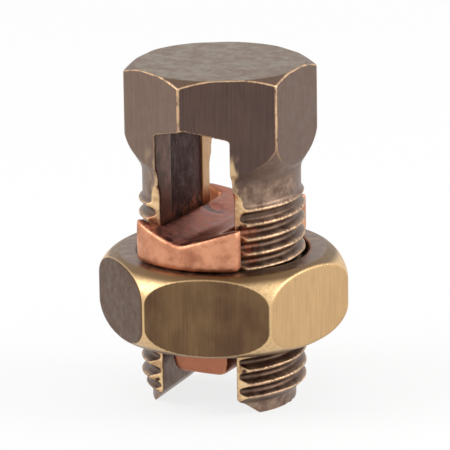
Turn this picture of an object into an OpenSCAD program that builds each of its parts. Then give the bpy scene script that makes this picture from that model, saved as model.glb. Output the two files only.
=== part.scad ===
// Split bolt connector: a forged hex-head bolt whose shank is slotted into two
// threaded legs, a copper pressure bar that rides in the slot, and a hex nut
// that drives the bar up to clamp two conductors under the head.
//
// Frame: the bolt stands on the ends of its legs at z = 0, its axis is +Z, the
// conductor slot runs along Y and the two legs lie at -X and +X.

/* [Thread] */
// Major diameter of the thread, crest to crest
thread_d = 15.75; // [15.4:0.05:16.2]
// Thread pitch
pitch = 1.411; // [1.2:0.01:1.6]
// Height of the thread's upper end above the leg ends
thread_top = 20.2; // [19:0.1:20.5]
// Diameter of the plain pilot at the leg ends
pilot_d = 13.7; // [13:0.1:14]
// Height of the plain pilot
pilot_h = 1.05; // [0.5:0.05:2]

/* [Conductor slot] */
// Width of the slot between the legs
slot_w = 7.5; // [7.1:0.05:7.8]
// Height of the slot's side walls above the leg ends
slot_h = 26.9; // [26:0.1:27.6]
// Rise of the slot's roof from its sides to its ridge
slot_roof_rise = 1.1; // [0.5:0.1:2]
// Size of the 45 degree lead-in at the slot's open end
slot_lead_in = 1.6; // [0.8:0.1:2]
// Depth of the rough recess in each leg's inner face
recess_depth = 0.25; // [0.1:0.05:0.4]
// Width of the rough recess, along the slot
recess_w = 7.3; // [5:0.1:9]

/* [Legs] */
// Distance between the flats on the front and back of the legs
leg_flats = 11.9; // [11.4:0.1:12.2]
// Height at which the cutter starts to leave the flats
flat_top = 20.6; // [20.3:0.1:21]
// Radius that the cutter leaves at the top of the flats
flat_runout_r = 2; // [1:0.1:3]

/* [Neck and head] */
// Overall height of the bolt
total_h = 32.7; // [32:0.1:35]
// Diameter of the plain neck under the head
neck_d = 15; // [14.6:0.05:15.4]
// Radius of the fillet between the neck and the head's underside
neck_fillet_r = 2; // [1:0.1:3]
// Angle of the head's underside from the bolt's axis
collar_angle = 32; // [26:1:40]
// Radius that blends the underside into the hexagon's corners
collar_round_r = 4.5; // [3:0.1:4.6]
// Height of the head's flats above the start of that blend
head_h = 5.8; // [5:0.1:7]
// Head, across flats
head_af = 15.9; // [15.5:0.1:17]
// Diameter of the flat circle on top of the head
head_face_d = 16; // [14:0.1:16.5]
// Slope of the chamfer round the head's top
head_chamfer_angle = 30; // [20:1:40]
// Turn of the head's corner away from the slot's axis
head_turn = -2.5; // [-5:0.5:5]

/* [Nut] */
// Nut, across flats
nut_af = 20.9; // [20.5:0.1:22.5]
// Thickness of the nut
nut_h = 7.9; // [7:0.1:9]
// Height of the nut's underside above the leg ends
nut_z = 6.65; // [4:0.05:8]
// Diameter of the flat circle on each face of the nut
nut_face_d = 20; // [19.5:0.1:21]
// Slope of the nut's chamfers
nut_chamfer_angle = 30; // [20:1:40]
// Diameter of the countersink at each end of the bore
countersink_d = 16.5; // [16.3:0.05:17.2]
// Running clearance on the radius between thread crest and nut bore
thread_clearance = 0.07; // [0.05:0.01:0.1]
// Turn of the nut's corner away from the slot's axis
nut_turn = -15.5; // [-30:0.5:30]

/* [Pressure bar] */
// Clearance between the bar's web and each wall of the slot
web_clearance = 0.5; // [0.45:0.05:0.7]
// Clearance between the bar's ears and the flats of the legs
ear_clearance = 0.5; // [0.45:0.05:0.8]
// Width of the ears, across the slot
ear_w = 10.7; // [10:0.1:11.5]
// Length of the bar along the slot, at its middle
bar_l = 18.4; // [17.6:0.1:18.8]
// Radius of the ears' upright corners
ear_corner_r = 0.8; // [0.3:0.1:1.2]
// Bevel along the ears' upper edges
ear_bevel = 0.45; // [0.2:0.05:0.8]
// Thickness of the bar at the bottom of its trough
trough_h = 2.5; // [2:0.1:3.5]
// Slope of the trough's two facets
trough_angle = 17.5; // [10:0.5:22]
// Width of the tongue that reaches down through the nut
tongue_w = 5.9; // [5:0.1:6.2]
// Length of the tongue, along the slot
tongue_l = 10.4; // [8:0.1:11]
// Reach of the tongue below the nut
tongue_reach = 3.2; // [1:0.1:3.6]
// Radius of the tongue's lower corners
tongue_corner_r = 1.05; // [0.3:0.05:1.5]
// Width of the shallow dimple in one facet
dimple_d = 2.6; // [1.5:0.1:3]
// Depth of the dimple
dimple_depth = 0.3; // [0.1:0.05:0.5]
// Place of the dimple across the slot, from the bar's middle
dimple_x = -2.1; // [-2.5:0.1:-1.5]
// Place of the dimple along the slot, from the bar's middle
dimple_y = 2.4; // [1.5:0.1:3]
// Turn of the bar in the slot, dragged round by the nut
bar_turn = -3.5; // [-3.5:0.5:3.5]

/* [Hidden] */
$fn = 96;

// How far cutting shapes run past the solid they cut
over = 1;
// How far the head's revolved blank runs past the hexagon's corners
blank_margin = 0.02;
// A 60 degree thread with a crest one eighth of a pitch wide and a root one quarter wide
thread_crest = pitch / 8;
thread_root = pitch / 4;
thread_flank = (pitch - thread_crest - thread_root) / 2;
thread_r = thread_d / 2;
root_r = thread_r - thread_flank / tan(30);
pilot_r = pilot_d / 2;
neck_r = neck_d / 2;
nut_top = nut_z + nut_h;
bore_r = thread_r + thread_clearance;
collar_r = corner_r(head_af) + blank_margin;
collar_z = total_h - head_h;
web_w = slot_w - 2 * web_clearance;
ear_gap = leg_flats + 2 * ear_clearance;

function corner_r(across_flats) = across_flats / sqrt(3);

// Hexagonal prism with one corner on the -Y side, turned by an angle
module hex_prism(across_flats, height, turn) {
    rotate([0, 0, turn - 90])
        cylinder(r = corner_r(across_flats), h = height, $fn = 6);
}

// Rectangle about the origin with four round corners
module rounded_rectangle(size, r) {
    square([size.x - 2 * r, size.y], center = true);
    square([size.x, size.y - 2 * r], center = true);
    for (x = [-1, 1], y = [-1, 1])
        translate([x * (size.x / 2 - r), y * (size.y / 2 - r)])
            circle(r = r);
}

// Lays a profile drawn in X and Z along the slot, centred on the axis
module along_slot(length) {
    translate([0, length / 2, 0])
        rotate([90, 0, 0])
            linear_extrude(height = length) children();
}

// ---- Split bolt ----

// Half section of the threaded shank: rings of the thread's section and pitch,
// down to a 45 degree taper and the plain pilot
module shank_section() {
    turns = ceil(thread_top / pitch);
    taper_h = thread_r - pilot_r;
    intersection() {
        polygon(concat(
            [[0, thread_top - turns * pitch]],
            [for (i = [turns : -1 : 1], p = thread_ring(thread_top - i * pitch)) p],
            [[thread_r, thread_top], [0, thread_top]]
        ));
        polygon([
            [0, 0], [pilot_r, 0], [pilot_r, pilot_h],
            [thread_r, pilot_h + taper_h], [thread_r, thread_top], [0, thread_top]
        ]);
    }
}

// One ring of the thread above height z, crest first
function thread_ring(z) = [
    [thread_r, z],
    [thread_r, z + thread_crest],
    [root_r, z + thread_crest + thread_flank],
    [root_r, z + pitch - thread_flank]
];

// Points of an arc about a centre, from one angle to another
function arc(centre, r, from, to, steps) = [
    for (i = [0 : steps])
        centre + r * [cos(from + (to - from) * i / steps), sin(from + (to - from) * i / steps)]
];

// Half section of the neck and of the blank that the head is cut from: neck,
// fillet, sloping underside, round blend, side and chamfered top
module head_section() {
    blend_c = [collar_r - collar_round_r, collar_z];
    blend_t = blend_c + collar_round_r * [cos(collar_angle), -sin(collar_angle)];
    fillet_x = neck_r + neck_fillet_r * (1 - cos(collar_angle));
    fillet_z = blend_t.y - (blend_t.x - fillet_x) / tan(collar_angle);
    fillet_c = [neck_r + neck_fillet_r, fillet_z - neck_fillet_r * sin(collar_angle)];
    face_r = head_face_d / 2;
    chamfer_h = (collar_r - face_r) * tan(head_chamfer_angle);
    // The neck overlaps the last thread so that the two make one solid
    neck_z = thread_top - pitch;
    polygon(concat(
        [[0, neck_z], [root_r, neck_z], [root_r, thread_top], [neck_r, thread_top]],
        arc(fillet_c, neck_fillet_r, 180, 180 - collar_angle, 4),
        arc(blend_c, collar_round_r, -collar_angle, 0, 5),
        [[collar_r, total_h - chamfer_h], [face_r, total_h], [0, total_h]]
    ));
}

// Outline of the conductor slot across the legs, with its lead-in and pitched roof
module slot_outline() {
    half = slot_w / 2;
    wide = half + slot_lead_in + over;
    polygon([
        [-wide, -over], [-half, slot_lead_in], [-half, slot_h],
        [0, slot_h + slot_roof_rise],
        [half, slot_h], [half, slot_lead_in], [wide, -over]
    ]);
}

// What the cutter takes off the front of the legs, with its round run-out
module flat_cut() {
    side = thread_d + 2 * over;
    translate([-side / 2, -leg_flats / 2 - flat_runout_r, 0])
        rotate([90, 0, 90])
            linear_extrude(height = side) {
                circle(r = flat_runout_r);
                translate([-side, -flat_top - over]) square([side + flat_runout_r, flat_top + over]);
                translate([-side, 0]) square([side, flat_runout_r]);
            }
}

module split_bolt() {
    color("#8c7160")
    difference() {
        union() {
            rotate_extrude() shank_section();
            intersection() {
                rotate_extrude() head_section();
                hex_prism(head_af, total_h, head_turn);
            }
        }
        along_slot(2 * head_af) slot_outline();
        translate([-slot_w / 2 - recess_depth, -recess_w / 2, -over])
            cube([slot_w + 2 * recess_depth, recess_w, slot_h + over]);
        for (turn = [0, 180])
            rotate([0, 0, turn])
                translate([0, 0, flat_top])
                    flat_cut();
    }
}

// ---- Nut ----

// Half section of the nut's blank, chamfered at both ends
module nut_section() {
    face_r = nut_face_d / 2;
    wide_r = corner_r(nut_af) + over;
    chamfer_h = (wide_r - face_r) * tan(nut_chamfer_angle);
    polygon([
        [0, 0], [face_r, 0], [wide_r, chamfer_h],
        [wide_r, nut_h - chamfer_h], [face_r, nut_h], [0, nut_h]
    ]);
}

// Half section of the bore, with a 45 degree countersink at each end
module bore_section() {
    sink_r = countersink_d / 2;
    sink_h = sink_r - bore_r;
    polygon([
        [0, -over], [sink_r, -over], [sink_r, 0], [bore_r, sink_h],
        [bore_r, nut_h - sink_h], [sink_r, nut_h], [sink_r, nut_h + over], [0, nut_h + over]
    ]);
}

module hex_nut() {
    color("#9c8258")
    translate([0, 0, nut_z])
        difference() {
            intersection() {
                hex_prism(nut_af, nut_h, nut_turn);
                rotate_extrude() nut_section();
            }
            rotate_extrude() bore_section();
        }
}

// ---- Pressure bar ----

// Plan of the bar: a web in the slot, and an ear in front of and behind the legs
module bar_plan() {
    ears = [ear_w, bar_l];
    square([web_w, ear_gap + 2 * ear_corner_r], center = true);
    intersection() {
        circle(d = bar_l);
        difference() {
            rounded_rectangle([ears.x, ears.y + 2 * ear_corner_r], ear_corner_r);
            square([ears.x + 2 * over, ear_gap], center = true);
        }
    }
}

// Section of the bar across the slot, with its trough and bevelled upper edges;
// it runs wider and lower than the plan, which gives the bar its sides and base
module bar_section() {
    rise = tan(trough_angle);
    bevel_x = ear_w / 2 - ear_bevel;
    bevel_z = trough_h + bevel_x * rise;
    wide = ear_w / 2 + over;
    for (side = [0, 1])
        mirror([side, 0])
            polygon([
                [0, -over], [wide, -over], [wide, bevel_z - ear_bevel - over],
                [bevel_x, bevel_z], [0, trough_h]
            ]);
}

// Section of the tongue across the slot, down to its round lower corners
module tongue_section() {
    length = nut_h + tongue_reach;
    r = tongue_corner_r;
    translate([-tongue_w / 2, -length + r]) square([tongue_w, length - r]);
    translate([-tongue_w / 2 + r, -length]) square([tongue_w - 2 * r, length]);
    for (side = [-1, 1])
        translate([side * (tongue_w / 2 - r), -length + r]) circle(r = r);
}

// Ball that leaves the dimple in the facet on the -X side
module dimple_ball() {
    ball_r = (pow(dimple_d / 2, 2) + pow(dimple_depth, 2)) / (2 * dimple_depth);
    facet_z = trough_h - dimple_x * tan(trough_angle);
    lift = ball_r - dimple_depth;
    translate([dimple_x + lift * sin(trough_angle), dimple_y, facet_z + lift * cos(trough_angle)])
        sphere(r = ball_r);
}

module pressure_bar() {
    bar_top = trough_h + ear_w * tan(trough_angle);
    color("#c98a68")
    translate([0, 0, nut_top])
        rotate([0, 0, bar_turn]) {
            difference() {
                intersection() {
                    linear_extrude(height = bar_top) bar_plan();
                    along_slot(bar_l + 2 * over) bar_section();
                }
                dimple_ball();
            }
            along_slot(tongue_l) tongue_section();
        }
}

split_bolt();
pressure_bar();
hex_nut();
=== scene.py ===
"""Split bolt connector, dressed: the slotted bolt, its hex nut and its copper pressure bar."""

import math
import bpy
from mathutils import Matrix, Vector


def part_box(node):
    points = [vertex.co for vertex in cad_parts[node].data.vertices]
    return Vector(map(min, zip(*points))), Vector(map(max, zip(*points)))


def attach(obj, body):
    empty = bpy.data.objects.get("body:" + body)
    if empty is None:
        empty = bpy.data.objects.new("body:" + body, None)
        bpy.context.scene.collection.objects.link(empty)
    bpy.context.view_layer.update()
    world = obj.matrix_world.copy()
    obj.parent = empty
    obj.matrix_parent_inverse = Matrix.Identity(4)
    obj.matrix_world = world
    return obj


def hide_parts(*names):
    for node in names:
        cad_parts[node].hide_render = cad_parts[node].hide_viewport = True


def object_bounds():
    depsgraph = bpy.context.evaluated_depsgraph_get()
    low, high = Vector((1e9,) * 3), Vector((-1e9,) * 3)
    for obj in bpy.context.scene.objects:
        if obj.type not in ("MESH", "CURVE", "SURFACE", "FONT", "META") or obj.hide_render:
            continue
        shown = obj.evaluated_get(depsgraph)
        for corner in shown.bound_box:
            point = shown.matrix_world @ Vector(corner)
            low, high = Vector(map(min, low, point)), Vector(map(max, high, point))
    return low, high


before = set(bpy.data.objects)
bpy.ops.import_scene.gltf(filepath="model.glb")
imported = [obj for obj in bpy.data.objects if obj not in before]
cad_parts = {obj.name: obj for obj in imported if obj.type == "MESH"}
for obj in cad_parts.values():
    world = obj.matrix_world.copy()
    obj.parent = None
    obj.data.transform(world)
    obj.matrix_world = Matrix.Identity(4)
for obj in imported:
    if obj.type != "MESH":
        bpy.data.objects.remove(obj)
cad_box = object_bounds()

from types import SimpleNamespace

import bmesh
import bpy
import numpy as np
from mathutils import Matrix, Vector

bl_info = {
    "name": "Split bolt connector",
    "version": (1, 0, 0),
    "blender": (4, 5, 0),
    "location": "View3D > Sidebar > Split bolt",
    "description": "Models a slotted bronze bolt with its nut and its copper pressure bar",
    "category": "Object",
}

MM = 0.001
# How far cutting shapes run past the solid they cut, in millimetres
OVER = 1.0
# Steps in a full turn. The two share few divisors, because edges that coincide can break a cut
TURN_STEPS = 140
THREAD_STEPS = 96


def linear(code):
    """A colour written as six hexadecimal digits, in the renderer's linear values."""
    parts = [int(code[i : i + 2], 16) / 255 for i in (0, 2, 4)]
    return [c / 12.92 if c <= 0.04045 else ((c + 0.055) / 1.055) ** 2.4 for c in parts]


# ---- Sizes and colours a user would change ----


def length(name, description, millimetres):
    return bpy.props.FloatProperty(
        name=name, description=description, default=millimetres * MM, unit="LENGTH", precision=5
    )


def angle(name, description, degrees):
    return bpy.props.FloatProperty(
        name=name, description=description, default=math.radians(degrees), subtype="ANGLE"
    )


def colour(name, description, code):
    return bpy.props.FloatVectorProperty(
        name=name, description=description, default=linear(code), subtype="COLOR", min=0, max=1
    )


class BoltSizes(bpy.types.PropertyGroup):
    thread_d: length("Thread", "Major diameter of the thread", 15.75)
    pitch: length("Pitch", "Rise of the thread in one turn", 1.411)
    thread_start: length("Thread start", "Height of a crest on the +X side", 0.55)
    thread_top: length("Thread top", "Height where the thread runs out into the neck", 20.2)
    pilot_d: length("Pilot", "Diameter of the plain leg ends", 13.7)
    pilot_h: length("Pilot height", "Height of the plain leg ends", 1.05)
    slot_w: length("Slot", "Width of the conductor slot", 7.5)
    slot_h: length("Slot height", "Height of the slot's walls", 26.9)
    roof_rise: length("Roof rise", "Rise of the slot's roof to its ridge", 1.1)
    lead_in: length("Lead-in", "Size of the bevel at the slot's open end", 1.6)
    recess_depth: length("Recess depth", "Depth of the rough recess in the slot's walls", 0.25)
    recess_w: length("Recess", "Width of the rough recess, along the slot", 7.3)
    recess_shift: length("Recess shift", "How far the recess lies behind the middle", 0.5)
    leg_flats: length("Leg flats", "Distance across the flats on the legs", 11.9)
    flat_top: length("Flat top", "Height at which the flats start to run out", 20.6)
    runout_r: length("Run-out radius", "Radius at the top of the flats", 2.0)
    neck_d: length("Neck", "Diameter of the plain neck", 15.0)
    fillet_r: length("Neck fillet", "Radius between neck and head", 2.0)
    collar_angle: angle("Collar angle", "Angle of the head's underside from the axis", 32)
    collar_round: length("Collar round", "Radius from the underside to the corners", 4.5)
    head_h: length("Head height", "Height of the head's flats", 5.8)
    head_af: length("Head", "Head, across flats", 15.9)
    face_d: length("Head face", "Diameter of the flat circle on the head", 16.0)
    chamfer: angle("Head chamfer", "Slope of the chamfer round the head's top", 30)
    head_turn: angle("Head turn", "Turn of the head's corner from the slot's axis", -2.5)
    corner_r: length("Corner radius", "Radius worn on the head's upright corners", 0.45)


class NutSizes(bpy.types.PropertyGroup):
    af: length("Nut", "Nut, across flats", 20.9)
    face_d: length("Nut face", "Diameter of the flat circle on each face", 20.0)
    chamfer: angle("Nut chamfer", "Slope of the nut's chamfers", 30)
    edge_round: length("Edge round", "Radius from each chamfer to the corners", 3.0)
    corner_r: length("Corner radius", "Radius on the nut's upright corners", 0.6)
    sink_d: length("Countersink", "Diameter of the countersink at each end", 16.5)
    clearance: length("Clearance", "Running clearance of the thread, on the radius", 0.07)
    turn: angle("Nut turn", "Turn of the nut's corner from the slot's axis", -15.5)


class BarSizes(bpy.types.PropertyGroup):
    web_w: length("Web", "Width of the web between the legs", 6.5)
    ear_gap: length("Ear gap", "Distance between the ears, along the slot", 12.9)
    ear_w: length("Ears", "Width of the ears, across the slot", 10.7)
    bar_l: length("Length", "Length along the slot, at the middle", 18.4)
    web_lap: length("Web lap", "How far the web runs into each ear", 1.3)
    trough_h: length("Trough", "Thickness at the bottom of the trough", 2.5)
    trough_angle: angle("Trough angle", "Slope of the trough's two facets", 17.5)
    tongue_w: length("Tongue width", "Width of the tongue, across the slot", 5.9)
    tongue_l: length("Tongue length", "Length of the tongue, along the slot", 10.4)
    tongue_r: length("Tongue corners", "Radius of the tongue's lower corners", 1.05)
    dimple_d: length("Dimple", "Width of the shallow dimple", 2.6)
    dimple_depth: length("Dimple depth", "Depth of the dimple", 0.3)
    dimple_x: length("Dimple across", "Place of the dimple across the slot", -2.1)
    dimple_y: length("Dimple along", "Place of the dimple along the slot", 2.4)
    turn: angle("Bar turn", "Turn of the bar in the slot", -3.5)


class FinishColours(bpy.types.PropertyGroup):
    patina: colour("Patina", "Brown skin of the bronze", "806a5d")
    # Painted shade for the head's front face.
    head_painted_shade: colour("Dark patina", "Darkest side of the head", "5c4a45")
    # Also painted shade on the head's right face.
    warm_patina_and_shade: colour("Warm patina", "Redder patches of the skin", "6e584c")
    patina_grey: colour("Grey patina", "Rubbed grey-brown of the tops", "82725f")
    neck: colour("Neck", "Lighter skin of the neck", "9c8472")
    # Also painted shade in the nut's bore and countersinks; darkens thread roots and concave
    # corners.
    grime_and_shade: colour("Grime", "Dirt in roots, pits and corners", "4a352b")
    # Also painted shade in the slot's recess, on the slot's roof and in the dimple's crescent.
    recess: colour("Recess", "Rough dark skin in the slot", "573d3a")
    slot_red: colour("Slot red", "Red-brown of the slot's front", "704a3a")
    # Also a painted reflection on the slot's back band and painted light on the nut's right face.
    cut_tan_and_sheen: colour("Cut brown", "Tarnish on cut metal", "b8926a")
    brass: colour("Brass", "Fresh metal on cut faces", "ecca9c")
    edge: colour("Edge", "Metal worn bright on the edges", "f0c79c")
    nut_dark: colour("Dark nut", "Darkest tarnish on the nut", "5e4636")
    nut_brown: colour("Brown nut", "Lighter tarnish on the nut", "7d6346")
    # Painted shade, redder and darker, for the nut's left face.
    nut_shade: colour("Shaded nut", "Redder tarnish on the nut's side", "52300f")
    # Painted light: the gold of the nut's brighter right face.
    nut_gold: colour("Nut gold", "Brushed metal on the nut", "cba778")
    nut_edge: colour("Nut edge", "Worn gold of corners and chamfers", "e0bd8c")
    copper: colour("Copper", "Clean copper", "dd9d7a")
    # Also painted shade on the tongue under the nut and painted light on the trough's right facet.
    copper_worn: colour("Worn copper", "Duller copper", "a86c52")
    copper_red: colour("Red copper", "Red-brown tarnish", "c27a66")
    copper_dark: colour("Dark copper", "Tarnished copper", "8c564a")


class StageSizes(bpy.types.PropertyGroup):
    azimuth: angle("Azimuth", "Camera's turn about the object", 23.24)
    elevation: angle("Elevation", "Camera's height above the horizon", 15.71)
    roll: angle("Roll", "Camera's roll", -0.83)
    distance: length("Distance", "Distance from the camera to the object's middle", 401.9)
    lens: bpy.props.FloatProperty(
        name="Lens", description="Focal length in millimetres", default=339.84, min=1
    )
    aim: bpy.props.FloatVectorProperty(
        name="Aim",
        description="Where the camera looks, from the middle of the object's box",
        default=(0.00023, 0.00010, 0.00040),
        subtype="TRANSLATION",
        precision=5,
    )


GROUPS = {
    "bolt_sizes": BoltSizes,
    "nut_sizes": NutSizes,
    "bar_sizes": BarSizes,
    "finish_colours": FinishColours,
    "stage_sizes": StageSizes,
}


def sizes_of(group):
    """A group's values as plain numbers: lengths in millimetres, angles in radians."""
    values = {}
    for prop in group.bl_rna.properties:
        if prop.type != "FLOAT":
            continue
        value = getattr(group, prop.identifier)
        values[prop.identifier] = value / MM if prop.unit == "LENGTH" else value
    return SimpleNamespace(**values)


def node_heights(node):
    """Lowest and highest level of a node of the frame, in millimetres."""
    low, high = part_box(node)
    return low.z / MM, high.z / MM


# ---- Outlines and solids, in millimetres ----


def arc(centre, radius, start, end, steps):
    """Points of an arc from one angle to another, in radians."""
    angles = [start + (end - start) * i / steps for i in range(steps + 1)]
    return [(centre[0] + radius * math.cos(a), centre[1] + radius * math.sin(a)) for a in angles]


def moved_verts(geometry):
    return [g for g in geometry if isinstance(g, bmesh.types.BMVert)]


def prism(outline, height):
    """Closed prism that stands on the outline at z = 0."""
    bm = bmesh.new()
    base = bm.faces.new([bm.verts.new((x, y, 0)) for x, y in outline])
    grown = bmesh.ops.extrude_face_region(bm, geom=[base])
    bmesh.ops.translate(bm, verts=moved_verts(grown["geom"]), vec=(0, 0, height))
    bmesh.ops.recalc_face_normals(bm, faces=bm.faces[:])
    return bm


def along_slot(outline, width):
    """Prism of an outline drawn in X and Z, laid along Y and centred on the axis."""
    bm = prism(outline, width)
    bmesh.ops.rotate(bm, verts=bm.verts[:], matrix=Matrix.Rotation(math.pi / 2, 3, "X"))
    bmesh.ops.translate(bm, verts=bm.verts[:], vec=(0, width / 2, 0))
    return bm


def block(low, high):
    """Box between two corners."""
    bm = bmesh.new()
    bmesh.ops.create_cube(bm, size=1)
    bmesh.ops.scale(bm, verts=bm.verts[:], vec=[b - a for a, b in zip(low, high)])
    bmesh.ops.translate(bm, verts=bm.verts[:], vec=[(a + b) / 2 for a, b in zip(low, high)])
    return bm


def turned(section):
    """Solid turned on the axis from a half section of radii and heights."""
    bm = bmesh.new()
    verts = [bm.verts.new((r, 0, z)) for r, z in section]
    edges = [bm.edges.new(pair) for pair in zip(verts, verts[1:])]
    bmesh.ops.spin(
        bm,
        geom=verts + edges,
        axis=(0, 0, 1),
        angle=2 * math.pi,
        steps=TURN_STEPS,
        use_merge=True,
    )
    bmesh.ops.remove_doubles(bm, verts=bm.verts[:], dist=1e-4)
    bmesh.ops.recalc_face_normals(bm, faces=bm.faces[:])
    return bm


def hex_prism(across_flats, low, high, turn, corner_r):
    """Hexagonal prism with one corner near -Y and round upright corners."""
    bm = bmesh.new()
    bmesh.ops.create_circle(bm, cap_ends=True, segments=6, radius=across_flats / math.sqrt(3))
    bmesh.ops.rotate(bm, verts=bm.verts[:], matrix=Matrix.Rotation(turn, 3, "Z"))
    bmesh.ops.translate(bm, verts=bm.verts[:], vec=(0, 0, low))
    grown = bmesh.ops.extrude_face_region(bm, geom=bm.faces[:])
    bmesh.ops.translate(bm, verts=moved_verts(grown["geom"]), vec=(0, 0, high - low))
    upright = [e for e in bm.edges if abs(e.verts[0].co.z - e.verts[1].co.z) > 0.5]
    bmesh.ops.bevel(
        bm,
        geom=upright,
        offset=corner_r * math.tan(math.pi / 6),
        segments=5,
        profile=0.5,
        affect="EDGES",
        material=-1,
    )
    bmesh.ops.recalc_face_normals(bm, faces=bm.faces[:])
    return bm


def threaded_rod(size, grow, low, high):
    """Rod with the bolt's thread, made larger by grow on every side, cut off at two heights."""
    pitch = size.pitch
    crest = pitch / 8 + 2 * grow * math.tan(math.pi / 12)
    root = pitch / 4 - 2 * grow * math.tan(math.pi / 12)
    flank = (pitch - crest - root) / 2
    crest_r = size.thread_d / 2 + grow
    root_r = crest_r - flank / math.tan(math.pi / 6)
    profile = [
        (root_r, 0),
        (root_r, root / 2),
        (crest_r, root / 2 + flank),
        (crest_r, root / 2 + flank + crest),
        (root_r, pitch - root / 2),
        (root_r, pitch),
    ]
    turns_below = math.ceil((size.thread_start - low) / pitch) + 2
    start = size.thread_start - (turns_below + 0.5) * pitch
    turns = math.ceil((high - start) / pitch) + 1
    bm = bmesh.new()
    verts = [bm.verts.new((r, 0, start + z)) for r, z in profile]
    edges = [bm.edges.new(pair) for pair in zip(verts, verts[1:])]
    bmesh.ops.spin(
        bm,
        geom=verts + edges,
        axis=(0, 0, 1),
        dvec=(0, 0, pitch / THREAD_STEPS),
        angle=2 * math.pi * turns,
        steps=THREAD_STEPS * turns,
    )
    bmesh.ops.remove_doubles(bm, verts=bm.verts[:], dist=1e-4)
    for level, up in ((low, 1), (high, -1)):
        bmesh.ops.bisect_plane(
            bm,
            geom=bm.verts[:] + bm.edges[:] + bm.faces[:],
            plane_co=(0, 0, level),
            plane_no=(0, 0, up),
            clear_inner=True,
        )
        rim = [e for e in bm.edges if e.is_boundary and abs(e.verts[0].co.z - level) < 1e-3]
        bmesh.ops.edgeloop_fill(bm, edges=rim)
    bmesh.ops.recalc_face_normals(bm, faces=bm.faces[:])
    return bm


# ---- Solids to finished pieces ----


def as_object(bm, name):
    mesh = bpy.data.meshes.new(name)
    bm.to_mesh(mesh)
    bm.free()
    obj = bpy.data.objects.new(name, mesh)
    bpy.context.scene.collection.objects.link(obj)
    return obj


def applied(obj):
    """Applies an object's modifiers to its mesh."""
    evaluated = obj.evaluated_get(bpy.context.evaluated_depsgraph_get())
    mesh = bpy.data.meshes.new_from_object(evaluated)
    old = obj.data
    obj.modifiers.clear()
    obj.data = mesh
    bpy.data.meshes.remove(old)


def carve(bm, tools, operation="DIFFERENCE"):
    """The solid with the tools cut out of it, or what it shares with them."""
    part = as_object(bm, "carved")
    cutters = [as_object(tool, "cutter") for tool in tools]
    for cutter in cutters:
        cut = part.modifiers.new("Cut", "BOOLEAN")
        cut.operation = operation
        cut.solver = "EXACT"
        cut.object = cutter
    applied(part)
    result = bmesh.new()
    result.from_mesh(part.data)
    for obj in [part, *cutters]:
        mesh = obj.data
        bpy.data.objects.remove(obj)
        bpy.data.meshes.remove(mesh)
    return result


def joined(solids):
    """Several closed solids in one bmesh."""
    bm = bmesh.new()
    for solid in solids:
        mesh = bpy.data.meshes.new("joined")
        solid.to_mesh(mesh)
        solid.free()
        bm.from_mesh(mesh)
        bpy.data.meshes.remove(mesh)
    return bm


def store_wear(mesh, spread):
    """Keeps each vertex's convexity, spread over its neighbours, as the attribute "wear"."""
    count = len(mesh.vertices)
    place = np.empty(count * 3, np.float32)
    normal = np.empty(count * 3, np.float32)
    pairs = np.empty(len(mesh.edges) * 2, np.int32)
    mesh.vertices.foreach_get("co", place)
    mesh.vertices.foreach_get("normal", normal)
    mesh.edges.foreach_get("vertices", pairs)
    place, normal, pairs = place.reshape(-1, 3), normal.reshape(-1, 3), pairs.reshape(-1, 2)
    near, far = pairs[:, 0], pairs[:, 1]
    step = place[far] - place[near]
    step /= np.maximum(np.linalg.norm(step, axis=1, keepdims=True), 1e-9)
    degree = np.bincount(pairs.ravel(), minlength=count)
    convex = np.bincount(near, -np.einsum("ij,ij->i", step, normal[near]), count)
    convex += np.bincount(far, np.einsum("ij,ij->i", step, normal[far]), count)
    convex /= degree
    for _ in range(spread):
        around = np.bincount(near, convex[far], count) + np.bincount(far, convex[near], count)
        convex = (convex + around / degree) / 2
    wear = mesh.attributes.new("wear", "FLOAT", "POINT")
    wear.data.foreach_set("value", convex.astype(np.float32))


def finished(name, bm, voxel, smoothing, triangles, node, body, material):
    """One closed skin round the solids, with softened edges, in metres at its place on the frame."""
    bmesh.ops.triangulate(bm, faces=bm.faces[:])
    obj = as_object(bm, name)
    skin = obj.modifiers.new("Skin", "REMESH")
    skin.mode = "VOXEL"
    skin.voxel_size = voxel
    soft = obj.modifiers.new("Soft edges", "SMOOTH")
    soft.factor = 0.5
    soft.iterations = smoothing
    applied(obj)
    store_wear(obj.data, 2)
    faces = 2 * len(obj.data.polygons)
    if faces > triangles:
        thin = obj.modifiers.new("Thin", "DECIMATE")
        thin.ratio = triangles / faces
        applied(obj)
    obj.data.transform(Matrix.Scale(MM, 4))
    obj.data.shade_smooth()
    obj.data.materials.append(material)
    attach(obj, body)
    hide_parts(node)
    print(name, len(obj.data.polygons), "faces")


# ---- Materials ----


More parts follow.
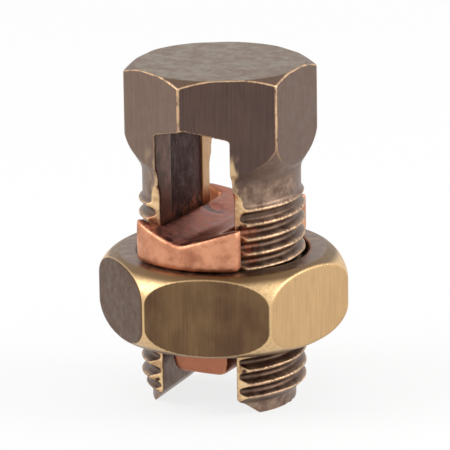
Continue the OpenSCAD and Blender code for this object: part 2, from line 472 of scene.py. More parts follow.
class Finish:
    """Builds one procedural material, node by node."""

    def __init__(self, name):
        self.material = bpy.data.materials.new(name)
        self.material.use_nodes = True
        self.tree = self.material.node_tree
        self.shader = self.tree.nodes["Principled BSDF"]
        coordinates = self.node("ShaderNodeTexCoord")
        self.place = coordinates.outputs["Object"]
        self.facing = coordinates.outputs["Normal"]
        self.wear = self.node("ShaderNodeAttribute", attribute_name="wear").outputs["Fac"]
        self.x, self.y, self.z = self.split(self.place)[0:3]
        self.nx, self.ny, self.nz = self.split(self.facing)[0:3]

    def node(self, kind, inputs=(), **settings):
        node = self.tree.nodes.new(kind)
        for key, value in settings.items():
            setattr(node, key, value)
        for key, value in dict(inputs).items():
            self.feed(node.inputs[key], value)
        return node

    def feed(self, socket, value):
        if isinstance(value, bpy.types.NodeSocket):
            self.tree.links.new(value, socket)
        elif hasattr(value, "__len__") and len(socket.default_value) > len(value):
            socket.default_value = [*value, 1]
        else:
            socket.default_value = value

    def math(self, operation, *values):
        inputs = dict(enumerate(values))
        return self.node("ShaderNodeMath", inputs, operation=operation).outputs[0]

    def ramp(self, value, start, end):
        """0 before start, 1 past end, and smooth between them; falls where end is below start."""
        inputs = {"Value": value, "From Min": start, "From Max": end}
        kind = "SMOOTHSTEP"
        return self.node("ShaderNodeMapRange", inputs, interpolation_type=kind).outputs["Result"]

    def scaled(self, x, y, z):
        """The object's place, stretched: features are 1 / x metres across X, and so on."""
        inputs = {"Vector": self.place, "Scale": (x, y, z)}
        return self.node("ShaderNodeMapping", inputs).outputs["Vector"]

    def noise(self, vector, scale=1.0, detail=3.0, roughness=0.55):
        inputs = {"Vector": vector, "Scale": scale, "Detail": detail, "Roughness": roughness}
        return self.node("ShaderNodeTexNoise", inputs).outputs["Fac"]

    def split(self, vector):
        return self.node("ShaderNodeSeparateXYZ", {"Vector": vector}).outputs

    def mix(self, share, first, second, blend="MIX"):
        node = self.node("ShaderNodeMix", data_type="RGBA", blend_type=blend)
        for socket, value in ((0, share), (6, first), (7, second)):
            self.feed(node.inputs[socket], value)
        return node.outputs[2]

    def across(self):
        """Distance from the slot's middle plane."""
        return self.math("ABSOLUTE", self.x)

    def depth(self):
        """Distance in front of the axis or behind it."""
        return self.math("ABSOLUTE", self.y)

    def radius(self):
        """Distance from the axis."""
        squares = [self.math("MULTIPLY", axis, axis) for axis in (self.x, self.y)]
        return self.math("SQRT", self.math("ADD", *squares))

    def toward(self, direction):
        """Cosine of the angle between the surface's normal and a direction."""
        inputs = {0: self.facing, 1: direction}
        node = self.node("ShaderNodeVectorMath", inputs, operation="DOT_PRODUCT")
        return node.outputs["Value"]

    def rubbed(self, spread):
        """The wear, made uneven by the finish's mottle."""
        uneven = self.math("MULTIPLY_ADD", self.mottle, spread, -spread / 2)
        return self.math("ADD", self.wear, uneven)

    def all_of(self, *shares):
        """Product of several shares."""
        product = shares[0]
        for share in shares[1:]:
            product = self.math("MULTIPLY", product, share)
        return product

    def grey(self, value):
        return self.node("ShaderNodeCombineColor", {0: value, 1: value, 2: value}).outputs[0]

    def bump(self, height, distance, strength=1.0, normal=None):
        inputs = {"Height": height, "Distance": distance, "Strength": strength}
        if normal is not None:
            inputs["Normal"] = normal
        return self.node("ShaderNodeBump", inputs).outputs["Normal"]

    def surface(self, base, roughness, normal):
        for key, value in (
            ("Base Color", base),
            ("Roughness", roughness),
            ("Normal", normal),
            ("Metallic", 1.0),
        ):
            self.feed(self.shader.inputs[key], value)
        return self.material


def hexagon_side(turn, side):
    """Direction of one of a hexagon's faces, counted round from the front."""
    bearing = turn + math.radians(60 * side - 60)
    return (math.cos(bearing), math.sin(bearing), 0)


def hexagon_inset(f, across_flats, turn):
    """How far a point lies inside a hexagonal prism's nearest face."""
    bearing = f.math("SUBTRACT", f.math("ARCTAN2", f.y, f.x), turn)
    folded = f.math("WRAP", bearing, math.pi / 6, -math.pi / 6)
    reach = f.math("MULTIPLY", f.radius(), f.math("COSINE", folded))
    return f.math("SUBTRACT", across_flats / 2 * MM, reach)


# Bands over which one finish gives way to the next: where it starts and where it is full, in metres
HEAD_CHAMFER = (0.03, 0.0315)
HEAD_RIM = (0.029, 0.03)
HEAD_FLARE = (0.0235, 0.0285)
THREAD_CORE = (0.00695, 0.00705)
GOUGE_TOP = (0.0258, 0.0244)
GOUGE_FOOT = (0.0205, 0.0222)
SMEAR_TOP = (0.0192, 0.0182)
SMEAR_FOOT = (0.0145, 0.0155)
SLOT_BACK_REFLECTION = (0.0032, 0.0042)
SLOT_MOUTH = (0.0085, 0.006)
ABOVE_MOUTH = (0.006, 0.0085)
NUT_BORE_SHADE = (0.0084, 0.0081)
BAR_BACK = (0.003, 0.0075)
BAR_UNDER_NUT_SHADE = (0.0095, 0.006)
BAR_RIGHT_FACET_LIGHT = (-0.0003, 0.0003)
# How far a rim or a border reaches in from a hexagon's faces, in metres
HEAD_BORDER_OUTER = (0.00002, 0.00005)
HEAD_BORDER_INNER = (0.0002, 0.00007)
NUT_RIM_OUTER = (0.00002, 0.00005)
NUT_RIM_INNER = (0.0002, 0.0001)
NUT_WORN = (0.00004, 0.0001)


def head_skin(f, size, colours):
    """Patina of the head, greyer on its top; painted shade makes its front darkest and its right
    face darker and redder.
    """
    # Painted shade: the front face is made the darkest brown.
    front = f.ramp(f.toward(hexagon_side(size.head_turn, 0)), 0.75, 0.95)
    right = f.ramp(f.toward(hexagon_side(size.head_turn, 1)), 0.8, 0.97)
    base = f.mix(front, colours.patina, colours.head_painted_shade)
    base = f.mix(f.all_of(f.ramp(f.cloud, 0.4, 0.75), 0.35), base, colours.warm_patina_and_shade)
    # Painted shade: the right face is made darker and redder.
    base = f.mix(f.all_of(right, 0.8), base, colours.warm_patina_and_shade)
    top = f.mix(f.ramp(f.mottle, 0.42, 0.66), colours.patina_grey, colours.patina)
    top = f.mix(f.all_of(f.ramp(f.speck, 0.56, 0.7), 0.6), top, colours.grime_and_shade)
    chamfer = f.all_of(f.ramp(f.nz, 0.5, 0.8), f.ramp(f.z, *HEAD_CHAMFER))
    base = f.mix(chamfer, base, colours.warm_patina_and_shade)
    base = f.mix(f.ramp(f.nz, 0.9, 0.99), base, top)
    streak = f.math("MULTIPLY_ADD", f.ramp(f.brushed, 0.25, 0.75), 0.26, 0.87)
    return f.mix(1.0, base, f.grey(streak), "MULTIPLY")


def shank_skin(f, size, colours, base, shank, collar_z):
    """Lighter skin on the neck, dark thread roots and rubbed crests."""
    crest_r = size.thread_d / 2 * MM
    radius = f.radius()
    neck = f.ramp(f.z, collar_z + 0.0008, collar_z - 0.0008)
    skin = f.mix(f.ramp(f.mottle, 0.35, 0.7), colours.warm_patina_and_shade, colours.neck)
    base = f.mix(neck, base, skin)
    root = f.all_of(shank, f.ramp(radius, crest_r - 0.00022, crest_r - 0.0005))
    root = f.all_of(root, f.ramp(radius, *THREAD_CORE), 0.6)
    base = f.mix(root, base, colours.grime_and_shade)
    crest = f.ramp(radius, crest_r - 0.00022, crest_r - 0.00008)
    rubbed = f.all_of(shank, crest, f.ramp(f.speck, 0.4, 0.6), 0.6)
    return f.mix(rubbed, base, colours.edge)


def leg_flats_skin(f, size, colours, base, collar_z):
    """Bright metal with dark blotches on the flats, and a gouge under the head."""
    flat_y = size.leg_flats / 2 * MM
    half_slot = size.slot_w / 2 * MM
    flat = f.all_of(
        f.ramp(f.math("ABSOLUTE", f.ny), 0.82, 0.92),
        f.ramp(f.depth(), flat_y + 0.0006, flat_y + 0.0002),
        f.ramp(f.z, collar_z + 0.0003, collar_z - 0.0006),
    )
    cut = f.mix(f.ramp(f.mottle, 0.36, 0.62), colours.cut_tan_and_sheen, colours.brass)
    blotch = f.noise(f.place, scale=520, detail=3, roughness=0.6)
    cut = f.mix(f.ramp(blotch, 0.6, 0.68), cut, colours.grime_and_shade)
    base = f.mix(flat, base, cut)
    gouge = f.all_of(
        f.ramp(f.noise(f.scaled(700, 700, 300), detail=3), 0.45, 0.6),
        f.ramp(f.across(), half_slot + 0.0016, half_slot + 0.0003),
        f.ramp(f.z, *GOUGE_TOP),
        f.ramp(f.z, *GOUGE_FOOT),
    )
    return f.mix(f.all_of(gouge, 0.75), base, colours.brass)


def slot_skin(f, size, colours, base, wall, pit):
    """Slot walls: red-brown in front, dark rough skin with painted shade in the recess and on the
    roof, and a painted golden reflection behind.
    """
    half_slot = size.slot_w / 2 * MM
    lining = f.mix(f.ramp(f.mottle, 0.35, 0.7), colours.slot_red, colours.warm_patina_and_shade)
    # Painted reflection: the back of the walls is made golden.
    lining = f.mix(f.ramp(f.y, *SLOT_BACK_REFLECTION), lining, colours.cut_tan_and_sheen)
    lining = f.mix(f.ramp(f.z, *SLOT_MOUTH), lining, colours.warm_patina_and_shade)
    flecks = f.all_of(f.ramp(f.speck, 0.58, 0.68), f.ramp(f.cloud, 0.4, 0.6), 0.7)
    # The recess gets dark rough skin, which also serves as painted shade there.
    lining = f.mix(pit, lining, f.mix(flecks, colours.recess, colours.neck))
    base = f.mix(wall, base, lining)
    # Painted shade: the slot's roof, facing down, is made dark.
    roof = f.all_of(f.ramp(f.nz, -0.5, -0.8), f.ramp(f.across(), half_slot, half_slot - 0.0002))
    return f.mix(roof, base, colours.recess)


def copper_smear(f, size, colours, base):
    """Copper rubbed off the bar on the legs and the slot walls."""
    flat_y = size.leg_flats / 2 * MM
    half_slot = size.slot_w / 2 * MM
    smear = f.all_of(
        f.ramp(f.noise(f.place, scale=1100, detail=4, roughness=0.7), 0.44, 0.56),
        f.ramp(f.depth(), flat_y + 0.0012, flat_y + 0.0003),
        f.ramp(f.across(), half_slot + 0.0022, half_slot + 0.0012),
        f.ramp(f.z, *SMEAR_TOP),
        f.ramp(f.z, *SMEAR_FOOT),
    )
    return f.mix(f.all_of(smear, 0.8), base, colours.copper_worn)


def bronze_edges(f, size, colours, base, shank):
    """Worn edges, bright round the head and dull in the slot; a bright border near the head's upper
    edges, worn metal and painted highlight; darker in concave corners.
    """
    half_slot = size.slot_w / 2 * MM
    inset = hexagon_inset(f, size.head_af, size.head_turn)
    # Bright border near the head's upper edges: worn metal, and painted highlight along the edges
    # and corner flares.
    border = f.all_of(
        f.ramp(f.math("MULTIPLY_ADD", f.mottle, 0.00002, inset), *HEAD_BORDER_OUTER),
        f.ramp(inset, *HEAD_BORDER_INNER),
        f.ramp(f.z, *HEAD_FLARE),
        f.ramp(f.mottle, 0.3, 0.55),
    )
    base = f.mix(f.all_of(border, 0.7), base, colours.edge)
    clear = f.ramp(f.across(), half_slot + 0.0002, half_slot + 0.0009)
    bright = f.math("MAXIMUM", clear, f.ramp(f.z, *HEAD_RIM))
    strength = f.math("MULTIPLY_ADD", bright, 0.62, 0.3)
    threads = f.math("MULTIPLY_ADD", shank, -0.45, 1.0)
    edge = f.all_of(f.ramp(f.rubbed(0.12), 0.07, 0.2), strength, threads)
    base = f.mix(edge, base, colours.edge)
    # Darker where the surface is concave.
    return f.mix(f.all_of(f.ramp(f.wear, -0.05, -0.22), 0.6), base, colours.grime_and_shade)


def bronze_finish(size, colours):
    """Brown patina with brushed head faces, worn edges, bright leg flats and a rough slot."""
    f = Finish("bronze_patina")
    f.cloud = f.noise(f.place, scale=240, detail=4)
    f.speck = f.noise(f.place, scale=2600, detail=4, roughness=0.7)
    f.mottle = f.noise(f.place, scale=900, detail=4, roughness=0.65)
    f.brushed = f.noise(f.scaled(8000, 8000, 260), detail=4, roughness=0.6)
    half_slot = size.slot_w / 2 * MM
    deep_slot = half_slot + size.recess_depth * MM
    collar_z = (size.flat_top + size.runout_r) * MM
    shank = f.ramp(f.z, (size.thread_top + 0.3) * MM, size.thread_top * MM)
    wall = f.all_of(
        f.ramp(f.math("ABSOLUTE", f.nx), 0.6, 0.85),
        f.ramp(f.across(), deep_slot + 0.00015, deep_slot + 0.00005),
        f.ramp(f.z, (size.slot_h + 0.9) * MM, (size.slot_h + 0.5) * MM),
    )
    sunk = f.ramp(f.across(), half_slot + 0.00008, half_slot + 0.0002)
    pit = f.all_of(sunk, f.ramp(f.z, *ABOVE_MOUTH), wall)

    base = head_skin(f, size, colours)
    base = shank_skin(f, size, colours, base, shank, collar_z)
    base = leg_flats_skin(f, size, colours, base, collar_z)
    base = slot_skin(f, size, colours, base, wall, pit)
    base = copper_smear(f, size, colours, base)
    base = bronze_edges(f, size, colours, base, shank)

    rough = f.math("MULTIPLY_ADD", f.ramp(f.mottle, 0.3, 0.7), 0.16, 0.34)
    rough = f.math("ADD", rough, f.all_of(pit, 0.2))
    pits = f.bump(f.speck, 0.00005, 0.35)
    coarse = f.bump(f.mottle, 0.0002, f.math("MULTIPLY_ADD", pit, 0.35, 0.1), pits)
    return f.surface(base, rough, f.bump(f.brushed, 0.00003, 0.3, coarse))


def nut_faces(f, size, colours):
    """Brushed faces, brown tarnish in front; painted light makes the right face nearly bright gold,
    painted shade makes the left face redder.
    """
    # Painted light: the right face is made bright gold.
    brighter = f.ramp(f.toward(hexagon_side(size.turn, 1.5)), 0.35, 0.75)
    left = f.ramp(f.toward(hexagon_side(size.turn, -1)), 0.6, 0.9)
    brown = f.mix(f.ramp(f.cloud, 0.25, 0.75), colours.nut_dark, colours.nut_brown)
    # Painted shade: the left face is made redder and darker.
    brown = f.mix(f.all_of(left, 0.8), brown, colours.nut_shade)
    gold = f.mix(f.ramp(f.cloud, 0.2, 0.8), colours.nut_gold, colours.cut_tan_and_sheen)
    face = f.mix(brighter, brown, f.mix(0.3, colours.nut_gold, gold))
    streak = f.math("MULTIPLY_ADD", f.ramp(f.brushed, 0.2, 0.8), 0.3, 0.85)
    return f.mix(1.0, face, f.grey(streak), "MULTIPLY")


def nut_finish(size, colours):
    """Brushed, tarnished faces with golden corners and chamfers and a duller top; thin rims of worn
    metal and painted highlight, and painted shade in the bore and countersinks.
    """
    f = Finish("brushed_bronze")
    f.brushed = f.noise(f.scaled(9000, 9000, 240), detail=4, roughness=0.6)
    f.cloud = f.noise(f.scaled(300, 300, 180), detail=3)
    f.mottle = f.noise(f.place, scale=1000, detail=4, roughness=0.65)
    f.speck = f.noise(f.place, scale=3000, detail=3, roughness=0.7)
    mid_r = size.af / 2 * MM
    corner_r = size.af / math.sqrt(3) * MM
    face_r = size.face_d / 2 * MM
    radius = f.radius()
    inset = hexagon_inset(f, size.af, size.turn)

    gold = f.ramp(radius, mid_r + 0.0001, corner_r - 0.0008)
    gold = f.mix(gold, colours.nut_brown, colours.nut_edge)
    gold = f.mix(f.all_of(f.ramp(f.speck, 0.45, 0.65), 0.3), gold, colours.nut_brown)
    worn = f.ramp(f.math("MULTIPLY_ADD", f.mottle, 0.00003, inset), *NUT_WORN)
    base = f.mix(worn, nut_faces(f, size, colours), gold)
    # Thin bright rim round each face: worn metal, and painted highlight along the edges.
    rim = f.all_of(f.ramp(inset, *NUT_RIM_OUTER), f.ramp(inset, *NUT_RIM_INNER), 0.4)
    base = f.mix(rim, base, colours.nut_edge)
    level = f.ramp(f.math("ABSOLUTE", f.nz), 0.93, 0.99)
    top = f.all_of(level, f.ramp(radius, face_r, face_r - 0.0003))
    dull = f.mix(f.ramp(f.mottle, 0.38, 0.66), colours.warm_patina_and_shade, colours.neck)
    base = f.mix(top, base, dull)
    # Painted shade: the bore and countersinks are made dark.
    base = f.mix(f.ramp(radius, *NUT_BORE_SHADE), base, colours.grime_and_shade)

    rough = f.math("MULTIPLY_ADD", f.ramp(f.mottle, 0.3, 0.7), 0.14, 0.32)
    grain = f.bump(f.speck, 0.00004, 0.3)
    return f.surface(base, rough, f.bump(f.brushed, 0.00003, 0.35, grain))


def dimple_shade(f, size, facet):
    """Dark crescent on the near side of the dimple: one circle less another set back."""
    level = f.node("ShaderNodeCombineXYZ", {0: f.x, 1: f.y}).outputs[0]
    turn = Matrix.Rotation(size.turn, 3, "Z")
    rings = []
    for back in (0, 1.1):
        place = turn @ Vector((size.dimple_x + back / 3, size.dimple_y + back, 0)) * MM
        away = f.node("ShaderNodeVectorMath", {0: level, 1: place}, operation="DISTANCE")
        rings.append(away.outputs["Value"])
    wide = size.dimple_d / 2 * MM
    near = f.ramp(rings[0], wide, wide - 0.0002)
    far = f.ramp(rings[1], wide - 0.0002, wide + 0.0001)
    return f.all_of(near, far, facet)


def copper_finish(size, colours):
    """Soft copper, bright orange on the ears, tarnished in the trough; painted shade on the tongue
    under the nut and painted light on the trough's right facet.
    """
    f = Finish("forged_copper")
    cloud = f.noise(f.place, scale=330, detail=4)
    f.mottle = f.noise(f.place, scale=1000, detail=4, roughness=0.65)
    speck = f.noise(f.place, scale=3200, detail=4, roughness=0.7)
    facet = f.ramp(f.nz, 0.7, 0.86)

    brighter = f.mix(f.ramp(cloud, 0.3, 0.6), colours.copper_worn, colours.copper)
    # Painted shade: the tongue under the nut is made duller and darker.
    brighter = f.mix(f.ramp(f.z, *BAR_UNDER_NUT_SHADE), brighter, colours.copper_worn)
    brighter = f.mix(f.all_of(f.ramp(f.mottle, 0.5, 0.7), 0.5), brighter, colours.copper_worn)
    tarnish = f.mix(f.ramp(f.mottle, 0.4, 0.66), colours.copper_dark, colours.copper_red)
    # Painted light: the trough's right facet is made lighter than the left.
    tarnish = f.mix(f.all_of(f.ramp(f.x, *BAR_RIGHT_FACET_LIGHT), 0.3), tarnish, colours.copper_worn)
    tarnish = f.mix(f.all_of(f.ramp(f.y, *BAR_BACK), 0.6), tarnish, colours.copper_worn)
    base = f.mix(facet, brighter, tarnish)
    edge = f.all_of(f.ramp(f.rubbed(0.06), 0.03, 0.1), 0.75)
    base = f.mix(edge, base, colours.copper)
    base = f.mix(f.all_of(f.ramp(speck, 0.64, 0.72), 0.55), base, colours.copper_dark)
    base = f.mix(f.all_of(dimple_shade(f, size, facet), 0.92), base, colours.recess)
    base = f.mix(f.all_of(f.ramp(f.wear, -0.015, -0.07), 0.8), base, colours.grime_and_shade)

    rough = f.math("MULTIPLY_ADD", f.ramp(f.mottle, 0.3, 0.7), 0.2, 0.3)
    grain = f.bump(speck, 0.00005, 0.3)
    lumps = f.noise(f.place, scale=620, detail=3)
    return f.surface(base, rough, f.bump(lumps, 0.0002, 0.3, grain))


# ---- Pieces ----


def slot_outline(size):
    """Outline of the conductor slot across the legs, from its lead-in to its pitched roof."""
    half = size.slot_w / 2
    wide = half + size.lead_in + OVER
    return [
        (-wide, -OVER),
        (wide, -OVER),
        (half, size.lead_in),
        (half, size.slot_h),
        (0, size.slot_h + size.roof_rise),
        (-half, size.slot_h),
        (-half, size.lead_in),
    ]


def flat_cutters(size):
    """What the cutter takes off the front and the back of the legs."""
    inner = size.leg_flats / 2
    outer = size.thread_d
    r = size.runout_r
    run = arc((inner + r, size.flat_top), r, math.pi, math.pi / 2, 12)
    outline = [(inner, -OVER), *run, (outer, size.flat_top + r), (outer, -OVER)]
    cutters = []
    for turn in (math.pi / 2, -math.pi / 2):
        bm = along_slot(outline, size.thread_d + 2 * OVER)
        bmesh.ops.rotate(bm, verts=bm.verts[:], matrix=Matrix.Rotation(turn, 3, "Z"))
        cutters.append(bm)
    return cutters


def leg_cutters(size):
    """The slot, its rough recess and the leg flats."""
    deep = size.slot_w / 2 + size.recess_depth
    front = size.recess_shift - size.recess_w / 2
    recess = block((-deep, front, -OVER), (deep, front + size.recess_w, size.slot_h))
    return [along_slot(slot_outline(size), 3 * size.head_af), recess, *flat_cutters(size)]


def shank_envelope(size):
    """Half section that the thread is cut down to: plain pilot, taper and upper run-out."""
    crest = size.thread_d / 2
    pilot = size.pilot_d / 2
    out = crest - size.neck_d / 2
    return [
        (0, 0),
        (pilot, 0),
        (pilot, size.pilot_h),
        (crest + OVER, size.pilot_h + crest + OVER - pilot),
        (crest + OVER, size.thread_top - OVER),
        (crest - out, size.thread_top + out),
        (0, size.thread_top + out),
    ]


def head_section(size, total_h):
    """Half section of the neck and of the blank that the head is cut from."""
    collar_r = size.head_af / math.sqrt(3)
    neck_r = size.neck_d / 2
    blend_c = (collar_r - size.collar_round, total_h - size.head_h)
    lean = size.collar_angle
    blend_x = blend_c[0] + size.collar_round * math.cos(lean)
    blend_z = blend_c[1] - size.collar_round * math.sin(lean)
    fillet_x = neck_r + size.fillet_r * (1 - math.cos(lean))
    fillet_z = blend_z - (blend_x - fillet_x) / math.tan(lean)
    fillet_c = (neck_r + size.fillet_r, fillet_z - size.fillet_r * math.sin(lean))
    face_r = size.face_d / 2
    chamfer_h = (collar_r - face_r) * math.tan(size.chamfer)
    root_r = size.thread_d / 2 - size.pitch / 2
    return [
        (0, size.thread_top - size.pitch),
        (root_r, size.thread_top - size.pitch),
        (neck_r, size.thread_top),
        *arc(fillet_c, size.fillet_r, math.pi, math.pi - lean, 8),
        *arc(blend_c, size.collar_round, -lean, 0, 12),
        (collar_r, total_h - chamfer_h),
        (face_r, total_h),
        (0, total_h),
    ]


class MESH_OT_split_bolt(bpy.types.Operator):
    """Models the bolt: hexagon head, neck and two threaded legs with flats"""

    bl_idname = "mesh.split_bolt"
    bl_label = "Split bolt"

    def execute(self, context):
        size = sizes_of(context.scene.bolt_sizes)
        total_h = node_heights("split_bolt")[1]
        rod = threaded_rod(size, 0, -OVER, size.thread_top + OVER)
        shank = carve(rod, [turned(shank_envelope(size))], "INTERSECT")
        hexagon = hex_prism(size.head_af, 0, total_h + OVER, size.head_turn, size.corner_r)
        head = carve(turned(head_section(size, total_h)), [hexagon], "INTERSECT")
        solids = [carve(solid, leg_cutters(size)) for solid in (shank, head)]
        finished(
            "bolt_body",
            joined(solids),
            voxel=0.12,
            smoothing=3,
            triangles=195000,
            node="split_bolt",
            body="bolt",
            material=bronze_finish(size, context.scene.finish_colours),
        )
        return {"FINISHED"}


class MESH_OT_hex_nut(bpy.types.Operator):
    """Models the hexagon nut with its crowned chamfers and its thread"""

    bl_idname = "mesh.bolt_hex_nut"
    bl_label = "Hex nut"

    def execute(self, context):
        size = sizes_of(context.scene.nut_sizes)
        bolt = sizes_of(context.scene.bolt_sizes)
        low, high = node_heights("hex_nut")
        section = self.half_section(size, high - low)
        blank = turned([(r, low + z) for r, z in section])
        hexagon = hex_prism(size.af, low - OVER, high + OVER, size.turn, size.corner_r)
        blank = carve(blank, [hexagon], "INTERSECT")
        bore = threaded_rod(bolt, size.clearance, low - OVER, high + OVER)
        nut = carve(blank, [bore, *self.countersinks(size, bolt, low, high)])
        finished(
            "nut_body",
            nut,
            voxel=0.13,
            smoothing=3,
            triangles=180000,
            node="hex_nut",
            body="nut",
            material=nut_finish(size, context.scene.finish_colours),
        )
        return {"FINISHED"}

    def half_section(self, size, height):
        """Half section of the blank, its chamfers rounded into the corners."""
        face_r = size.face_d / 2
        wide_r = size.af / math.sqrt(3) - size.corner_r * (1 / math.cos(math.pi / 6) - 1)
        r = size.edge_round
        touch_x = wide_r - r + r * math.sin(size.chamfer)
        touch_z = (touch_x - face_r) * math.tan(size.chamfer)
        centre_z = touch_z + r * math.cos(size.chamfer)
        lower = arc((wide_r - r, centre_z), r, size.chamfer - math.pi / 2, 0, 8)
        upper = [(x, height - z) for x, z in reversed(lower)]
        return [(0, 0), (face_r, 0), *lower, *upper, (face_r, height), (0, height)]

    def countersinks(self, size, bolt, low, high):
        """The two cones that open the bore."""
        sink_r = size.sink_d / 2
        root_r = bolt.thread_d / 2 - bolt.pitch / 2
        cones = []
        for level, way in ((low, 1), (high, -1)):
            section = [(0, -OVER), (sink_r, -OVER), (sink_r, 0), (root_r, sink_r - root_r)]
            section.append((0, sink_r - root_r))
            cones.append(turned([(r, level + way * z) for r, z in section]))
        return cones


class MESH_OT_pressure_bar(bpy.types.Operator):
    """Models the forged copper pressure bar with its trough, ears and tongue"""

    bl_idname = "mesh.bolt_pressure_bar"
    bl_label = "Pressure bar"

    def execute(self, context):
        size = sizes_of(context.scene.bar_sizes)
        foot = node_heights("pressure_bar")[0]
        seat = node_heights("hex_nut")[1]
        ears = carve(self.plan(size, size.ear_w, size.bar_l), [self.leg_gap(size)])
        web_l = size.ear_gap + 2 * size.web_lap
        half_w = size.web_w / 2
        web = block((-half_w, -web_l / 2, 0), (half_w, web_l / 2, 2 * size.trough_h))
        solids = [carve(solid, [self.trough(size), self.dimple(size)]) for solid in (ears, web)]
        solids.append(self.tongue(size, seat - foot))
        bar = joined(solids)
        bmesh.ops.rotate(bar, verts=bar.verts[:], matrix=Matrix.Rotation(size.turn, 3, "Z"))
        bmesh.ops.translate(bar, verts=bar.verts[:], vec=(0, 0, seat))
        finished(
            "pressure_bar_body",
            bar,
            voxel=0.12,
            smoothing=110,
            triangles=150000,
            node="pressure_bar",
            body="bar",
            material=copper_finish(size, context.scene.finish_colours),
        )
        return {"FINISHED"}

    def plan(self, size, width, bar_l):
        """The ears' upright outline: round ends, cut to width."""
        end = bar_l / 2
        top = 3 * size.trough_h
        disc = turned([(0, 0), (end, 0), (end, top), (0, top)])
        sides = block((-width / 2, -bar_l, -OVER), (width / 2, bar_l, 4 * size.trough_h))
        return carve(disc, [sides], "INTERSECT")

    def leg_gap(self, size):
        """The space the legs take between the ears."""
        half = size.ear_gap / 2
        return block((-size.ear_w, -half, -OVER), (size.ear_w, half, 4 * size.trough_h))

    def trough(self, size):
        """What is cut away above the two facets of the trough."""
        wide = size.ear_w
        rise = wide * math.tan(size.trough_angle)
        top = 5 * size.trough_h
        outline = [(0, size.trough_h), (wide, size.trough_h + rise), (wide, top), (-wide, top)]
        outline.append((-wide, size.trough_h + rise))
        return along_slot(outline, 2 * size.bar_l)

    def dimple(self, size):
        """Ball that leaves the shallow dimple in one facet."""
        depth = size.dimple_depth
        ball_r = ((size.dimple_d / 2) ** 2 + depth**2) / (2 * depth)
        lift = ball_r - depth
        slope = size.trough_angle
        facet_z = size.trough_h - size.dimple_x * math.tan(slope)
        bm = bmesh.new()
        bmesh.ops.create_uvsphere(bm, u_segments=64, v_segments=48, radius=ball_r)
        centre = (
            size.dimple_x + lift * math.sin(slope),
            size.dimple_y,
            facet_z + lift * math.cos(slope),
        )
        bmesh.ops.translate(bm, verts=bm.verts[:], vec=centre)
        return bm

    def tongue(self, size, reach):
        """Tongue that reaches down through the nut, with round lower corners."""
        half = size.tongue_w / 2
        r = size.tongue_r
        low_right = arc((half - r, r - reach), r, 0, -math.pi / 2, 6)
        low_left = arc((r - half, r - reach), r, -math.pi / 2, -math.pi, 6)
        outline = [(half, OVER), *low_right, *low_left, (-half, OVER)]
        return along_slot(outline, size.tongue_l)


# ---- Stage ----

FLOOR_WHITE = 0.9
# Share of plain white mixed into the floor where the camera or a reflection sees it
FLOOR_GLOW = 0.8
# Strength of the room's light on the object; the backdrop itself is plain white
ROOM_LIGHT = 0.7


def area_lamp(name, place, aim, width, height, watts):
    lamp = bpy.data.lights.new(name, "AREA")
    lamp.shape = "RECTANGLE"
    lamp.size, lamp.size_y, lamp.energy = width, height, watts
    obj = bpy.data.objects.new(name, lamp)
    bpy.context.scene.collection.objects.link(obj)
    obj.location = place
    obj.rotation_euler = (Vector(aim) - Vector(place)).to_track_quat("-Z", "Y").to_euler()


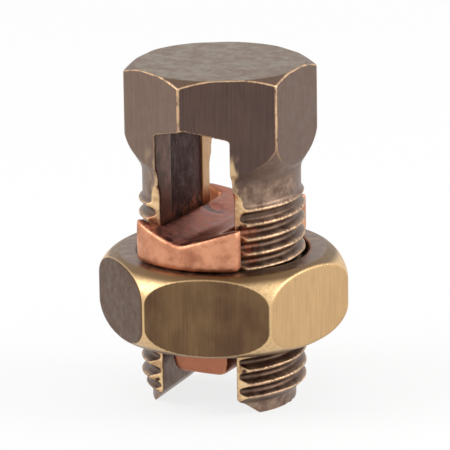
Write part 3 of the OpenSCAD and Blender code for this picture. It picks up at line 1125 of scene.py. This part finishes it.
class SCENE_OT_stage(bpy.types.Operator):
    """Sets the pale floor, the soft studio light and the camera"""

    bl_idname = "scene.split_bolt_stage"
    bl_label = "Stage"

    def execute(self, context):
        centre = (cad_box[0] + cad_box[1]) / 2
        self.floor()
        self.world(context.scene)
        self.lamps(centre)
        self.camera(context.scene, centre)
        context.scene.view_settings.view_transform = "Standard"
        return {"FINISHED"}

    def floor(self):
        bm = bmesh.new()
        bmesh.ops.create_grid(bm, x_segments=1, y_segments=1, size=2.0)
        floor = as_object(bm, "studio_floor")
        material = bpy.data.materials.new("pale_floor")
        material.use_nodes = True
        shader = material.node_tree.nodes["Principled BSDF"]
        shader.inputs["Base Color"].default_value = (FLOOR_WHITE, FLOOR_WHITE, FLOOR_WHITE, 1)
        shader.inputs["Roughness"].default_value = 0.9
        tree = material.node_tree
        white = tree.nodes.new("ShaderNodeEmission")
        share = tree.nodes.new("ShaderNodeMath")
        share.operation = "MULTIPLY"
        share.inputs[1].default_value = FLOOR_GLOW
        tree.links.new(self.seen(tree), share.inputs[0])
        mix = tree.nodes.new("ShaderNodeMixShader")
        tree.links.new(share.outputs[0], mix.inputs["Fac"])
        tree.links.new(shader.outputs[0], mix.inputs[1])
        tree.links.new(white.outputs[0], mix.inputs[2])
        tree.links.new(mix.outputs[0], tree.nodes["Material Output"].inputs["Surface"])
        floor.data.materials.append(material)

    def seen(self, tree):
        """1 where the camera, or a reflection, sees the surface."""
        path = tree.nodes.new("ShaderNodeLightPath")
        total = path.outputs["Is Camera Ray"]
        for ray in ("Is Glossy Ray", "Is Transmission Ray"):
            most = tree.nodes.new("ShaderNodeMath")
            most.operation = "MAXIMUM"
            tree.links.new(total, most.inputs[0])
            tree.links.new(path.outputs[ray], most.inputs[1])
            total = most.outputs[0]
        return total

    def world(self, scene):
        world = bpy.data.worlds.new("studio")
        world.use_nodes = True
        scene.world = world
        tree = world.node_tree
        light = tree.nodes["Background"]
        light.inputs["Color"].default_value = (1, 1, 1, 1)
        light.inputs["Strength"].default_value = ROOM_LIGHT
        white = tree.nodes.new("ShaderNodeBackground")
        white.inputs["Color"].default_value = (1, 1, 1, 1)
        mix = tree.nodes.new("ShaderNodeMixShader")
        tree.links.new(self.seen(tree), mix.inputs["Fac"])
        tree.links.new(light.outputs[0], mix.inputs[1])
        tree.links.new(white.outputs[0], mix.inputs[2])
        tree.links.new(mix.outputs[0], tree.nodes["World Output"].inputs["Surface"])

    def lamps(self, centre):
        area_lamp("lamp_left", (-0.35, -0.25, 0.35), centre, width=0.3, height=0.3, watts=1.2)
        area_lamp("lamp_right", (0.4, 0.1, 0.2), centre, width=0.25, height=0.3, watts=1.05)

    def camera(self, scene, centre):
        stage = sizes_of(scene.stage_sizes)
        aim = centre + Vector(scene.stage_sizes.aim)
        away = Vector(
            (
                math.sin(stage.azimuth) * math.cos(stage.elevation),
                -math.cos(stage.azimuth) * math.cos(stage.elevation),
                math.sin(stage.elevation),
            )
        )
        lens = bpy.data.cameras.new("camera")
        lens.sensor_width = 36
        lens.lens = stage.lens
        lens.clip_start, lens.clip_end = 0.01, 10
        camera = bpy.data.objects.new("camera", lens)
        scene.collection.objects.link(camera)
        camera.location = aim + away * stage.distance * MM
        facing = (-away).to_track_quat("-Z", "Y").to_matrix()
        roll = Matrix.Rotation(stage.roll, 3, "Z")
        camera.rotation_euler = (facing @ roll).to_euler()
        scene.camera = camera


class VIEW3D_PT_split_bolt(bpy.types.Panel):
    """Lists the pieces of the connector"""

    bl_label = "Split bolt"
    bl_space_type = "VIEW_3D"
    bl_region_type = "UI"
    bl_category = "Split bolt"

    def draw(self, context):
        for operator in OPERATORS:
            self.layout.operator(operator.bl_idname)


OPERATORS = (MESH_OT_split_bolt, MESH_OT_hex_nut, MESH_OT_pressure_bar, SCENE_OT_stage)
CLASSES = (*GROUPS.values(), *OPERATORS, VIEW3D_PT_split_bolt)


def register():
    for cls in CLASSES:
        bpy.utils.register_class(cls)
    for name, group in GROUPS.items():
        setattr(bpy.types.Scene, name, bpy.props.PointerProperty(type=group))


def unregister():
    for name in GROUPS:
        delattr(bpy.types.Scene, name)
    for cls in reversed(CLASSES):
        bpy.utils.unregister_class(cls)


def main():
    """Builds every piece and the stage."""
    register()
    bpy.ops.mesh.split_bolt()
    bpy.ops.mesh.bolt_hex_nut()
    bpy.ops.mesh.bolt_pressure_bar()
    bpy.ops.scene.split_bolt_stage()


if __name__ == "__main__":
    main()
